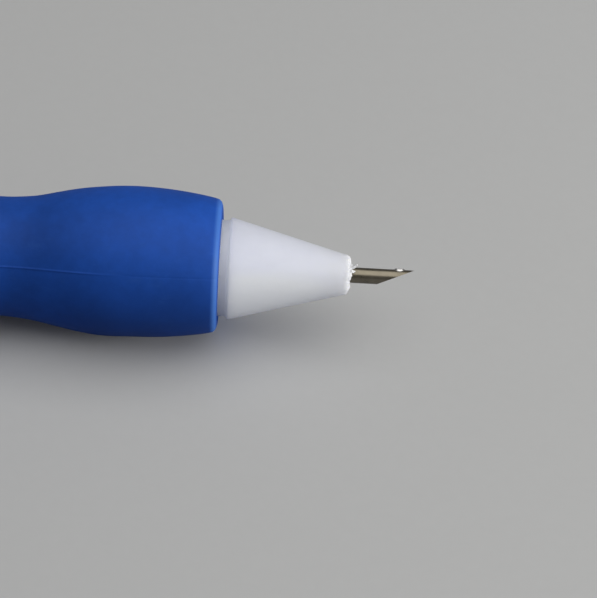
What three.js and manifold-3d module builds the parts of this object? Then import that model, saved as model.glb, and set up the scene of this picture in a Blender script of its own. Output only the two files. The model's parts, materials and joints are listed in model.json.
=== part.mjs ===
// Punch needle with a soft grip, a twist-to-set loop gauge and a lever that locks its needle cartridge.
// It lies on its side with the needle pointing along +X and +Z up. Lengths are in millimetres.
// A station is a distance along the tool from the grip's front face, positive towards the needle's point.
import * as THREE from 'three';
import { mergeVertices, toCreasedNormals } from 'three/addons/utils/BufferGeometryUtils.js';
import Module from 'manifold-3d';

const wasm = await Module();
wasm.setup();

// Fits
const runningGap = 0.2; // round a piece that turns or slides
const seatGap = 0.1; // round a piece that is pressed, bonded or moulded on
const faceGap = 0.1; // between end faces that meet

// Soft grip
const gripLength = 74;
const gripWall = 1.2;
const gripFrontRadius = 7.92;
const gripBulgeRadius = 9;
const gripBulgePlace = 10.3; // behind the front face, as are the next two places
const gripWaistRadius = 7.2;
const gripWaistPlace = 25.2;
const gripPalmRadius = 9;
const gripPalmPlace = 56;
const gripRearRadius = 7.9;
const gripLean = 1.2; // over 1 keeps the front bulge full and makes the waist sharper
const gripRounding = 0.7;
const gripLipThickness = 0.9;
const gripSides = 32;
const gripSteps = 24; // along its outside
const bondSteps = 15; // along its bond with the barrel

// Loop gauge: the tip screws in by one step at each setting
const settings = 12;
const settingStep = 1;
const settingTurn = THREE.MathUtils.degToRad(30);

// Tip
const coneStandsOut = 0.95; // from the grip's front face to the cone's base at the first setting
const coneLength = 14.3;
const coneBaseRadius = 5.95;
const coneEndRadius = 2.32;
const coneDomeLength = 0.5;
const coneFaceRadius = 1.5;
const coneBaseRounding = 0.15;
const neckRadius = 5.6;
const neckLength = 2.2;
const landLength = 2.1;
const spigotWall = 0.5;
const spigotLength = 6;
const tipGuideLength = 5;
const tipSides = 40;

// Gauge tube, its collar and the stud that rides in the slot
const gaugeTubeRadius = 4;
const gaugeTubeWall = 0.8;
const collarLength = 5;
const collarWall = 1;
const studRadius = 0.7;
const studStandsOut = 1.1;
const studDome = 0.25;
const studSides = 16;
const tubeSides = 32;
const edgeRounding = 0.35; // on the outer edges of collar, bush and shell

// Thrust washer and spring
const washerThickness = 0.5;
const springWireRadius = 0.275;
const springTurns = 8;
const springCoilGap = 0.3; // left between the turns at the last setting
const springStepsPerTurn = 10;
const springWireSides = 6;

// Barrel inside the grip
const guideBoreLength = 23;
const reliefBoreRadius = 5;
const barrelSpigotWall = 0.9;
const barrelSpigotLength = 6;

// Rear shell with the gauge's slot
const shellWall = 1.4;
const shellTaper = 0.3; // how much smaller in radius the rear end is
const shellFlangeRadius = 7.45;
const shellFlangeLength = 1.6;
const shellLipWidth = 0.4;
const shellLipLength = 0.8;
const slotGap = 0.25; // between the stud and each side of the slot
const slotStepsPerSetting = 3;
const scallopSides = 12;
const scallopDepth = 0.35;
const slotAhead = 2; // from the spigot's end to the collar at the first setting
const shellSides = 48;
const shellChamfer = 0.2;
const shellPinRadius = 0.6;
const shellPinSides = 12;

// Lock lever
const leverWidth = 4.6;
const leverSideGap = 0.2;
const leverHubRadius = 1.45;
const leverNeckAngle = THREE.MathUtils.degToRad(60); // from the hub's front up to where the arm leaves it
const leverNoseHeight = 0.58;
const leverHeelDepth = 1.16;
const leverOverhang = 3.2; // past the shell's rear end
const leverThickness = 1.5;
const leverRise = 0.6; // from the pivot up to the arm's underside
const leverHook = 0.9;
const leverHookLean = 0.27;
const leverThumbLength = 2.7;
const camLowRadius = 2.1;
const camRise = 0.5; // over the quarter turn that the arm swings
const camSpan = THREE.MathUtils.degToRad(100);
const camSteps = 8;
const camGap = 1.4; // from the collar at the last setting to the cam
const windowGap = 0.4; // ahead of the cam and behind it
const leverPinRadius = 0.5;
const leverPinGap = 0.08;
const leverPinSides = 16;
const leverPinHalfLength = 3.4;

// Needle cartridge
const needleRadius = 0.915; // 15 gauge tube
const needleWall = 0.23;
const needleExposed = 7.45; // out of the tip at the first setting
const needleBevel = THREE.MathUtils.degToRad(23);
const needleRoll = THREE.MathUtils.degToRad(-40); // turns the bevel towards the near side
const needleInHub = 9;
const eyeLength = 0.9;
const eyeWidth = 0.66;
const eyeFromPoint = 1.3;
const eyeSides = 12;
const holderRadius = 2.8;
const holderWall = 1.1;
const holderFlatDepth = 0.25;
const holderGap = 2; // from the tip's spigot at the last setting to the hub
const hubFlangeLength = 1.5;
const hubTailLength = 3;
const hubThroatLength = 0.45;
const bushLength = 6;
const bushWall = 2.2;
const knobRadius = 4.6;
const knobLength = 6.6;
const knobGap = 0.3; // to the rear shell
const knobSocketDepth = 4;
const knobRounding = 0.6;
const knobFlutes = 16;
const knobFluteDepth = 0.35;
const knobFluteSides = 8;
const knobBandLength = 1.2; // plain at each end of the flutes
const eyeletBoreRadius = 1.25;
const eyeletWall = 0.35;
const eyeletFlange = 0.95;
const eyeletFlangeThickness = 0.6;
const cartridgeSides = 24;

const white = { color: '#e4e5ea', roughness: 0.45, metalness: 0 };
const grey = { color: '#c9ccd2', roughness: 0.5, metalness: 0 };
const steel = { color: '#b9b5aa', roughness: 0.28, metalness: 1 };
const brass = { color: '#c8a24c', roughness: 0.3, metalness: 1 };
const rubber = { color: '#20499c', roughness: 0.75, metalness: 0 };

// Places that follow from the sizes above
const travel = (settings - 1) * settingStep;
const turnRange = (settings - 1) * settingTurn;
const gaugeTubeBore = gaugeTubeRadius - gaugeTubeWall;
const spigotRadius = gaugeTubeBore - seatGap;
const landFront = coneStandsOut - neckLength;
const landRear = landFront - landLength;
const spigotRear = landRear - spigotLength;
const washerFront = landRear - faceGap;
const washerRear = washerFront - washerThickness;
const mouthRadius = coneBaseRadius + runningGap;
const mouthRear = washerRear - travel - runningGap;
const springSolidLength = (springTurns + 1) * 2 * springWireRadius + springTurns * springCoilGap;
const shoulder = washerRear - travel - springSolidLength - 2 * faceGap;
const springRadius = (gaugeTubeRadius + mouthRadius) / 2;
const springPocketRadius = springRadius + springWireRadius + runningGap;
const guideBoreRadius = gaugeTubeRadius + runningGap;
const guideRear = shoulder - guideBoreLength;
const barrelFront = -gripLipThickness - faceGap;
const barrelSpigotRadius = reliefBoreRadius + barrelSpigotWall;
const shellFront = -gripLength - faceGap;
const barrelRear = shellFront - barrelSpigotLength;
const collarRadius = gaugeTubeRadius + seatGap + collarWall;
const shellBoreRadius = collarRadius + runningGap;
const shellRadius = shellBoreRadius + shellWall;
const shellSocketRadius = barrelSpigotRadius + seatGap;
const collarFront = barrelRear - slotAhead;
const studPlace = collarFront - collarLength / 2;
const collarRear = collarFront - collarLength;
const camHighRadius = camLowRadius + camRise;
const pivotPlace = collarRear - travel - camGap - camLowRadius;
const flatHeight = holderRadius - holderFlatDepth;
const pivotHeight = flatHeight + faceGap + camHighRadius;
const windowFront = pivotPlace + camLowRadius + windowGap;
const bushFront = pivotPlace - camHighRadius - windowGap;
const bushRear = bushFront - bushLength;
const shellRear = bushRear - faceGap - shellLipLength;
const knobFront = shellRear - knobGap;
const knobRear = knobFront - knobLength;
const holderFront = spigotRear - travel - holderGap;
const holderRear = knobFront - knobSocketDepth + faceGap;
const tipFace = coneStandsOut + coneLength;
const needlePoint = tipFace + needleExposed;
const axisHeight = Math.max(gripBulgeRadius, gripPalmRadius) * Math.cos(Math.PI / gripSides);

// Radius of the grip's outside at a distance behind its front face
function gripRadiusAt(behind) {
  const swell = (from, to, share) => from + (to - from) * (1 - Math.cos(Math.PI * share)) / 2;
  if (behind < gripBulgePlace) {
    const left = 1 - behind / gripBulgePlace;
    return gripBulgeRadius - (gripBulgeRadius - gripFrontRadius) * left ** 2;
  }
  if (behind < gripWaistPlace) {
    const share = (behind - gripBulgePlace) / (gripWaistPlace - gripBulgePlace);
    return swell(gripBulgeRadius, gripWaistRadius, share ** gripLean);
  }
  if (behind < gripPalmPlace) {
    const share = (behind - gripWaistPlace) / (gripPalmPlace - gripWaistPlace);
    return swell(gripWaistRadius, gripPalmRadius, share);
  }
  const past = (behind - gripPalmPlace) / (gripLength - gripPalmPlace);
  return gripPalmRadius - (gripPalmRadius - gripRearRadius) * past ** 2;
}

// Corners of a quarter-round edge between two stations, from one radius to the next
function roundedEdge(fromStation, fromRadius, toStation, toRadius, radialFirst, steps = 3) {
  const corners = [];
  for (let i = 0; i <= steps; i += 1) {
    const angle = (Math.PI / 2) * (i / steps);
    const slow = 1 - Math.cos(angle);
    const fast = Math.sin(angle);
    const along = radialFirst ? slow : fast;
    const across = radialFirst ? fast : slow;
    corners.push([
      fromStation + (toStation - fromStation) * along,
      fromRadius + (toRadius - fromRadius) * across,
    ]);
  }
  return corners;
}

// A closed three.js geometry as a solid for cutting and joining
function toSolid(geometry) {
  const bare = geometry.clone();
  bare.deleteAttribute('normal');
  bare.deleteAttribute('uv');
  const merged = mergeVertices(bare);
  const index = merged.index.array;
  const triVerts = [];
  for (let i = 0; i < index.length; i += 3) {
    const [a, b, c] = [index[i], index[i + 1], index[i + 2]];
    if (a !== b && b !== c && c !== a) triVerts.push(a, b, c);
  }
  const vertProperties = merged.attributes.position.array;
  const data = { numProp: 3, vertProperties, triVerts: new Uint32Array(triVerts) };
  return new wasm.Manifold(new wasm.Mesh(data));
}

// A ring turned about the tool's axis. Its corners are [station, radius]: the outside from rear to
// front, then the inside from front to rear.
function turned(corners, sides) {
  const closed = [...corners, corners[0]];
  const points = closed.map(([station, radius]) => new THREE.Vector2(radius, station));
  const lathe = new THREE.LatheGeometry(points, sides, Math.PI / sides);
  lathe.rotateZ(-Math.PI / 2);
  return toSolid(lathe);
}

// A round pin along +Z from one height to another, centred on a station, with flats to front and rear
function uprightPin(radius, fromHeight, toHeight, station, sides = studSides) {
  const length = toHeight - fromHeight;
  const pin = new THREE.CylinderGeometry(radius, radius, length, sides, 1, false, Math.PI / sides);
  pin.rotateX(Math.PI / 2);
  pin.translate(station, 0, (fromHeight + toHeight) / 2);
  return pin;
}

function box(fromX, toX, fromY, toY, fromZ, toZ) {
  const made = new THREE.BoxGeometry(toX - fromX, toY - fromY, toZ - fromZ);
  made.translate((fromX + toX) / 2, (fromY + toY) / 2, (fromZ + toZ) / 2);
  return toSolid(made);
}

// A named mesh of a solid, with smooth shading where its faces nearly agree
function piece(name, solid, finish) {
  const made = solid.getMesh();
  const geometry = new THREE.BufferGeometry();
  const position = new THREE.BufferAttribute(new Float32Array(made.vertProperties), 3);
  geometry.setAttribute('position', position);
  geometry.setIndex(new THREE.BufferAttribute(new Uint32Array(made.triVerts), 1));
  const creaseAngle = 0.6;
  const mesh = new THREE.Mesh(
    toCreasedNormals(geometry, creaseAngle),
    new THREE.MeshStandardMaterial(finish),
  );
  mesh.name = name;
  return mesh;
}

// Evenly spaced distances behind the grip's front face
function distancesBehind(from, to, count) {
  const places = [];
  for (let i = 0; i <= count; i += 1) places.push(from + (to - from) * (i / count));
  return places;
}

// Where the rubber meets the barrel, from front to rear
function bondPlaces() {
  return distancesBehind(gripLipThickness, gripLength, bondSteps);
}

// Rubber sleeve moulded to the barrel, with a lip round the mouth
function softGrip() {
  const frontEdge = gripRadiusAt(gripRounding);
  const rearEdge = gripRadiusAt(gripLength - gripRounding);
  const outside = distancesBehind(gripRounding, gripLength - gripRounding, gripSteps)
    .map((behind) => [-behind, gripRadiusAt(behind)])
    .reverse();
  const inside = bondPlaces().map((behind) => [-behind, gripRadiusAt(behind) - gripWall]);
  const lipRadius = mouthRadius + runningGap;
  return turned([
    ...roundedEdge(-gripLength, rearEdge - gripRounding, -gripLength + gripRounding, rearEdge, true),
    ...outside.slice(1, -1),
    ...roundedEdge(-gripRounding, frontEdge, 0, frontEdge - gripRounding, false),
    [0, lipRadius],
    [-gripLipThickness, lipRadius],
    ...inside,
  ], gripSides);
}

// Hard core of the handle: mouth and spring pocket in front, long guide for the gauge tube, rear spigot
function frontBarrel() {
  const outside = bondPlaces()
    .map((behind) => [Math.min(-behind, barrelFront), gripRadiusAt(behind) - gripWall - seatGap])
    .reverse();
  const plain = turned([
    [barrelRear, barrelSpigotRadius],
    [shellFront, barrelSpigotRadius],
    [shellFront, outside[0][1]],
    ...outside,
    [barrelFront, mouthRadius],
    [mouthRear, mouthRadius],
    [mouthRear, springPocketRadius],
    [shoulder, springPocketRadius],
    [shoulder, guideBoreRadius],
    [guideRear, guideBoreRadius],
    [guideRear - (reliefBoreRadius - guideBoreRadius), reliefBoreRadius],
    [barrelRear, reliefBoreRadius],
  ], gripSides);
  return plain.subtract(shellPinHoles(seatGap));
}

// Cross pins that lock the rear shell on the barrel's spigot, one on each side
function shellPinAt(side, radius, from, to) {
  const pin = uprightPin(radius, from, to, shellFront - barrelSpigotLength / 2, shellPinSides);
  pin.rotateX(side * Math.PI / 2);
  return toSolid(pin);
}

function shellPinHoles(gap) {
  const inner = reliefBoreRadius - gripWall;
  const outer = shellFlangeRadius + gripWall;
  const holes = [-1, 1].map((side) => shellPinAt(side, shellPinRadius + gap, inner, outer));
  return holes[0].add(holes[1]);
}

function shellPin(side) {
  return shellPinAt(side, shellPinRadius, reliefBoreRadius + faceGap, shellRadius - faceGap);
}

// Station of the stud's middle at a turn of the gauge
function studStation(turn) {
  return studPlace - settingStep * (turn / settingTurn);
}

// The slot that the stud follows: a helical band with a scallop on its front side at each setting
function gaugeSlot() {
  const half = studRadius + slotGap;
  const inner = collarRadius - slotGap;
  const outer = shellFlangeRadius;
  const steps = (settings - 1) * slotStepsPerSetting;
  const positions = [];
  for (let i = 0; i <= steps; i += 1) {
    const turn = turnRange * (i / steps);
    const station = studStation(turn);
    for (const [along, radius] of [[-half, inner], [half, inner], [half, outer], [-half, outer]]) {
      positions.push(station + along, -radius * Math.sin(turn), radius * Math.cos(turn));
    }
  }
  const index = [0, 2, 1, 0, 3, 2];
  for (let i = 0; i < steps; i += 1) {
    for (let side = 0; side < 4; side += 1) {
      const a = i * 4 + side;
      const b = i * 4 + ((side + 1) % 4);
      index.push(a, b, a + 4, b, b + 4, a + 4);
    }
  }
  const last = steps * 4;
  index.push(last, last + 1, last + 2, last, last + 2, last + 3);
  const band = new THREE.BufferGeometry();
  band.setAttribute('position', new THREE.BufferAttribute(new Float32Array(positions), 3));
  band.setIndex(index);
  let slot = toSolid(band);
  for (let setting = 0; setting < settings; setting += 1) {
    const turn = setting * settingTurn;
    const place = studStation(turn) + scallopDepth;
    const scallop = uprightPin(half, inner, outer, place, scallopSides);
    slot = slot.add(toSolid(scallop.rotateX(turn)));
  }
  for (const turn of [0, turnRange]) {
    slot = slot.add(toSolid(uprightPin(half, inner, outer, studStation(turn)).rotateX(turn)));
  }
  return slot;
}

// White rear half of the handle, with the gauge's slot and the lever's window
function rearShell() {
  const rearRadius = shellRadius - shellTaper;
  const rounding = edgeRounding;
  const plain = turned([
    ...roundedEdge(shellRear, rearRadius - rounding, shellRear + rounding, rearRadius, true),
    [shellFront - shellFlangeLength - rounding, shellRadius],
    [shellFront - shellFlangeLength, shellFlangeRadius],
    [shellFront - faceGap - shellChamfer, shellFlangeRadius],
    [shellFront - faceGap, shellFlangeRadius - shellChamfer],
    [shellFront - faceGap, shellSocketRadius],
    [barrelRear - faceGap, shellSocketRadius],
    [barrelRear - faceGap, shellBoreRadius],
    [bushRear - faceGap, shellBoreRadius],
    [bushRear - faceGap, shellBoreRadius - shellLipWidth],
    [shellRear, shellBoreRadius - shellLipWidth],
  ], shellSides);
  const halfWindow = leverWidth / 2 + leverSideGap;
  const window = box(
    shellRear - shellWall, windowFront, -halfWindow, halfWindow, holderRadius + faceGap, shellRadius * 2,
  );
  const pinHole = new THREE.CylinderGeometry(
    leverPinRadius + leverPinGap, leverPinRadius + leverPinGap, shellRadius * 3, leverPinSides,
  );
  pinHole.translate(pivotPlace, 0, pivotHeight);
  return plain
    .subtract(gaugeSlot())
    .subtract(window)
    .subtract(toSolid(pinHole))
    .subtract(shellPinHoles(seatGap));
}

// Ring at the shell's rear end that carries the cartridge
function rearBush() {
  const outer = shellBoreRadius - seatGap;
  const inner = holderRadius + runningGap;
  const rounding = edgeRounding;
  return turned([
    [bushRear, outer],
    [bushFront - rounding, outer],
    [bushFront, outer - rounding],
    [bushFront, inner],
    [bushRear, inner],
  ], tubeSides);
}

// Conical white tip in one piece with its neck, guide land and spigot
function noseCone() {
  const base = coneStandsOut;
  const domeStart = tipFace - coneDomeLength;
  const holeRadius = needleRadius + runningGap;
  const bore = spigotRadius - spigotWall;
  const rounding = coneBaseRounding;
  return turned([
    [spigotRear, spigotRadius],
    [landRear, spigotRadius],
    [landRear, coneBaseRadius - rounding],
    [landRear + rounding, coneBaseRadius],
    [landFront - rounding, coneBaseRadius],
    [landFront, neckRadius],
    [base, neckRadius],
    [base, coneBaseRadius - rounding],
    [base + rounding, coneBaseRadius],
    ...roundedEdge(domeStart, coneEndRadius, tipFace, coneFaceRadius, false, 4),
    [tipFace, holeRadius + rounding],
    [tipFace - rounding, holeRadius],
    [tipFace - tipGuideLength, holeRadius],
    [base, bore],
    [spigotRear, bore],
  ], tipSides);
}

// Tube that carries the tip's turn and slide back to the stud
function gaugeTube() {
  const front = landRear - faceGap;
  const plain = turned([
    [collarRear, gaugeTubeRadius],
    [front, gaugeTubeRadius],
    [front, gaugeTubeBore],
    [collarRear, gaugeTubeBore],
  ], tubeSides);
  const hole = uprightPin(studRadius + seatGap, 0, shellRadius, studPlace);
  return plain.subtract(toSolid(hole));
}

function studCollar() {
  const inner = gaugeTubeRadius + seatGap;
  const rounding = edgeRounding;
  const plain = turned([
    [collarRear, collarRadius - rounding],
    [collarRear + rounding, collarRadius],
    [collarFront - rounding, collarRadius],
    [collarFront, collarRadius - rounding],
    [collarFront, inner],
    [collarRear, inner],
  ], tubeSides);
  const hole = uprightPin(studRadius + seatGap, 0, shellRadius, studPlace);
  return plain.subtract(toSolid(hole));
}

// Pin through collar and tube: it follows the slot and points at the setting
function settingStud() {
  const top = shellRadius + studStandsOut;
  const corners = [
    [0, gaugeTubeBore + faceGap],
    [studRadius, gaugeTubeBore + faceGap],
    [studRadius, top - studDome],
    [studRadius * Math.SQRT1_2, top - studDome * (1 - Math.SQRT1_2)],
    [0, top],
  ];
  const points = corners.map(([radius, height]) => new THREE.Vector2(radius, height));
  const pin = new THREE.LatheGeometry(points, studSides);
  pin.rotateX(Math.PI / 2);
  pin.translate(studPlace, 0, 0);
  return toSolid(pin);
}

function thrustWasher() {
  const outer = coneBaseRadius - faceGap / 2;
  const inner = gaugeTubeRadius + runningGap;
  return turned([
    [washerRear, outer],
    [washerFront, outer],
    [washerFront, inner],
    [washerRear, inner],
  ], tubeSides);
}

// Compression spring between the barrel's shoulder and the washer, as one unbroken tube
function gaugeSpring() {
  const rear = shoulder + faceGap + springWireRadius;
  const front = washerRear - faceGap - springWireRadius;
  const pitch = (front - rear) / springTurns;
  const steps = springTurns * springStepsPerTurn;
  const slope = Math.atan2(pitch, 2 * Math.PI * springRadius);
  const positions = [];
  const centres = [];
  for (let i = 0; i <= steps; i += 1) {
    const angle = 2 * Math.PI * (i / springStepsPerTurn);
    const radial = new THREE.Vector3(0, Math.cos(angle), Math.sin(angle));
    const along = new THREE.Vector3(
      Math.cos(slope), Math.sin(slope) * Math.sin(angle), -Math.sin(slope) * Math.cos(angle),
    );
    const centre = radial.clone().multiplyScalar(springRadius);
    centre.x = rear + pitch * (i / springStepsPerTurn);
    centres.push(centre);
    for (let side = 0; side < springWireSides; side += 1) {
      const around = 2 * Math.PI * (side / springWireSides);
      const point = centre.clone()
        .addScaledVector(radial, springWireRadius * Math.cos(around))
        .addScaledVector(along, springWireRadius * Math.sin(around));
      positions.push(point.x, point.y, point.z);
    }
  }
  const index = [];
  for (let side = 1; side < springWireSides - 1; side += 1) index.push(0, side, side + 1);
  for (let i = 0; i < steps; i += 1) {
    for (let side = 0; side < springWireSides; side += 1) {
      const a = i * springWireSides + side;
      const b = i * springWireSides + ((side + 1) % springWireSides);
      index.push(a, a + springWireSides, b, b, a + springWireSides, b + springWireSides);
    }
  }
  const last = steps * springWireSides;
  for (let side = 1; side < springWireSides - 1; side += 1) {
    index.push(last, last + side + 1, last + side);
  }
  const spring = new THREE.BufferGeometry();
  spring.setAttribute('position', new THREE.BufferAttribute(new Float32Array(positions), 3));
  spring.setIndex(index);
  printLeastGap(centres);
  return toSolid(spring);
}

// The spring's least gap to itself, between points that are half a turn or more apart along it
function printLeastGap(centres) {
  let least = Infinity;
  for (let i = 0; i < centres.length; i += 1) {
    for (let j = i + springStepsPerTurn / 2; j < centres.length; j += 1) {
      least = Math.min(least, centres[i].distanceTo(centres[j]) - 2 * springWireRadius);
    }
  }
  console.log(`least gap between the spring's turns: ${least.toFixed(2)} mm`);
}

// Lever seen from the side, closed, with its pivot at the origin and its arm towards the rear.
// The cam's radius grows evenly with the angle, so it presses on the cartridge as the arm comes down.
function leverOutline() {
  const outline = new THREE.Shape();
  const neckAlong = leverHubRadius * Math.cos(leverNeckAngle);
  const neckUp = leverHubRadius * Math.sin(leverNeckAngle);
  const armEnd = shellRear - pivotPlace - leverOverhang;
  const armTop = leverRise + leverThickness;
  outline.moveTo(neckAlong, neckUp);
  outline.lineTo(leverHubRadius, leverNoseHeight);
  for (let i = 0; i <= camSteps; i += 1) {
    const angle = camSpan * (i / camSteps);
    const radius = camLowRadius + camRise * (angle / (Math.PI / 2));
    outline.lineTo(radius * Math.cos(angle), -radius * Math.sin(angle));
  }
  outline.lineTo(-leverHubRadius, -leverHeelDepth);
  outline.lineTo(-leverHubRadius - leverRise, leverRise);
  outline.lineTo(armEnd + leverHook, leverRise);
  outline.quadraticCurveTo(armEnd, leverRise, armEnd - leverHookLean, armTop);
  outline.lineTo(armEnd - leverHookLean, armTop + leverHook);
  outline.quadraticCurveTo(armEnd + leverHook, armTop, armEnd + leverThumbLength, armTop);
  outline.lineTo(-leverHubRadius - leverRise * 2, armTop);
  outline.quadraticCurveTo(-leverHubRadius, armTop, neckAlong, neckUp);
  const hole = new THREE.Path();
  hole.absarc(0, 0, leverPinRadius + leverPinGap, 0, 2 * Math.PI, false);
  outline.holes.push(hole);
  return outline;
}

function lockLever() {
  const lever = new THREE.ExtrudeGeometry(leverOutline(), {
    depth: leverWidth, bevelEnabled: false, curveSegments: 4,
  });
  lever.translate(0, 0, -leverWidth / 2);
  lever.rotateX(Math.PI / 2);
  return toSolid(lever);
}

function leverPin() {
  const length = 2 * leverPinHalfLength;
  return toSolid(new THREE.CylinderGeometry(leverPinRadius, leverPinRadius, length, leverPinSides));
}

// Steel tube ground to a bevelled point, with an eye through the wall behind the bevel
function needleTube() {
  const rear = holderFront - hubFlangeLength - needleInHub;
  const bore = needleRadius - needleWall;
  const tube = turned([
    [rear, needleRadius],
    [needlePoint, needleRadius],
    [needlePoint, bore],
    [rear, bore],
  ], cartridgeSides);
  const bevelReach = needleRadius * 8;
  const below = new THREE.BoxGeometry(bevelReach * 2, bevelReach, bevelReach);
  below.translate(0, 0, -bevelReach / 2);
  below.rotateY(-needleBevel);
  below.translate(needlePoint, 0, needleRadius);
  const eye = new THREE.CylinderGeometry(eyeWidth / 2, eyeWidth / 2, needleRadius * 2, eyeSides);
  eye.rotateX(Math.PI / 2);
  eye.scale(eyeLength / eyeWidth, 1, 1);
  eye.translate(needlePoint - eyeFromPoint, 0, needleRadius);
  const roll = THREE.MathUtils.radToDeg(needleRoll);
  return tube.subtract(toSolid(below)).subtract(toSolid(eye)).rotate([roll, 0, 0]);
}

// Box that removes what stands above the cartridge's flat
function aboveFlat(from, to) {
  return box(from, to, -holderRadius * 2, holderRadius * 2, flatHeight, holderRadius * 2);
}

// Plastic hub bonded on the needle, with a funnel that leads the threader into it
function needleHub() {
  const front = holderFront;
  const plugFront = front - hubFlangeLength;
  const needleRear = plugFront - needleInHub;
  const rear = needleRear - hubTailLength;
  const plugRadius = holderRadius - holderWall - seatGap;
  const bore = needleRadius + seatGap / 2;
  const plain = turned([
    [rear, plugRadius],
    [plugFront, plugRadius],
    [plugFront, holderRadius],
    [front, holderRadius],
    [front, bore],
    [needleRear - faceGap / 2, bore],
    [needleRear - faceGap / 2, needleRadius - needleWall],
    [needleRear - faceGap / 2 - hubThroatLength, needleRadius - needleWall],
    [rear, plugRadius - seatGap],
  ], cartridgeSides);
  return plain.subtract(aboveFlat(rear, front + faceGap));
}

// Long flatted tube that holds the needle's hub in front and the knob behind
function needleHolder() {
  const front = holderFront - hubFlangeLength - faceGap;
  const bore = holderRadius - holderWall;
  const plain = turned([
    [holderRear, holderRadius],
    [front, holderRadius],
    [front, bore],
    [holderRear, bore],
  ], cartridgeSides);
  return plain.subtract(aboveFlat(bushRear, front + faceGap));
}

// Knob that pulls the cartridge out, fluted for the fingers
function tailKnob() {
  const socket = holderRadius + seatGap;
  const socketEnd = knobFront - knobSocketDepth;
  const throat = eyeletBoreRadius + eyeletWall + seatGap;
  const recess = eyeletBoreRadius + eyeletWall + eyeletFlange;
  const recessDepth = eyeletFlangeThickness + faceGap * 2;
  let knob = turned([
    ...roundedEdge(knobRear, knobRadius - knobRounding, knobRear + knobRounding, knobRadius, true),
    [knobFront - knobRounding, knobRadius],
    [knobFront, knobRadius - knobRounding],
    [knobFront, socket],
    [socketEnd, socket],
    [socketEnd, throat],
    [knobRear + recessDepth, throat],
    [knobRear + recessDepth, recess + seatGap],
    [knobRear, recess + seatGap],
  ], knobFlutes * 2);
  const fluteRadius = Math.PI * knobRadius / knobFlutes / 2;
  const fluteLength = knobLength - 2 * knobBandLength;
  for (let i = 0; i < knobFlutes; i += 1) {
    const flute = new THREE.CylinderGeometry(fluteRadius, fluteRadius, fluteLength, knobFluteSides);
    flute.rotateZ(Math.PI / 2);
    flute.translate((knobFront + knobRear) / 2, 0, knobRadius + fluteRadius - knobFluteDepth);
    flute.rotateX(2 * Math.PI * (i / knobFlutes));
    knob = knob.subtract(toSolid(flute));
  }
  return knob;
}

// Metal eyelet with a rounded mouth, so that the yarn runs in without fraying
function threadEyelet() {
  const sleeve = eyeletBoreRadius + eyeletWall;
  const flange = sleeve + eyeletFlange;
  const front = knobFront - knobSocketDepth - faceGap;
  const rear = knobRear + faceGap;
  const throat = rear + eyeletFlangeThickness;
  const mouth = eyeletBoreRadius + eyeletFlange / 2;
  return turned([
    [rear, flange - eyeletWall],
    [rear + eyeletWall, flange],
    [throat, flange],
    [throat, sleeve],
    [front, sleeve],
    [front, eyeletBoreRadius],
    ...roundedEdge(throat, eyeletBoreRadius, rear, mouth, false),
  ], cartridgeSides);
}

function group(...members) {
  const made = new THREE.Group();
  made.add(...members);
  return made;
}

const handle = group(
  piece('soft_grip', softGrip(), rubber),
  piece('front_barrel', frontBarrel(), white),
  piece('rear_shell', rearShell(), white),
  piece('shell_pin_near', shellPin(1), steel),
  piece('shell_pin_far', shellPin(-1), steel),
  piece('rear_bush', rearBush(), grey),
  piece('gauge_spring', gaugeSpring(), steel),
);
const tip = group(
  piece('nose_cone', noseCone(), white),
  piece('gauge_tube', gaugeTube(), grey),
  piece('stud_collar', studCollar(), grey),
  piece('setting_stud', settingStud(), steel),
  piece('thrust_washer', thrustWasher(), steel),
);
const lever = group(
  piece('lock_lever', lockLever(), white),
  piece('lever_pin', leverPin(), steel),
);
lever.position.set(pivotPlace, 0, pivotHeight);
const cartridge = group(
  piece('needle_tube', needleTube(), steel),
  piece('needle_hub', needleHub(), grey),
  piece('needle_holder', needleHolder(), grey),
  piece('tail_knob', tailKnob(), white),
  piece('thread_eyelet', threadEyelet(), brass),
);

// The origin is under the middle of the tool, on the surface that it lies on
const punchNeedle = group(handle, tip, lever, cartridge);
punchNeedle.position.set(-(needlePoint + knobRear) / 2, 0, axisHeight);

export default punchNeedle;
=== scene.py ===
"""A punch needle: soft grip, worn white tip, bevelled steel needle, twist-set loop gauge and lock lever.

Turned pieces are turned again, finer and with softened edges, from the outlines of the model's own nodes.
A bearing is an angle about the tool's axis, from straight up towards the near side. Lengths are in metres.
"""
import json
import math
from collections import defaultdict

import bmesh
import bpy
from mathutils import Matrix, Vector, noise


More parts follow.
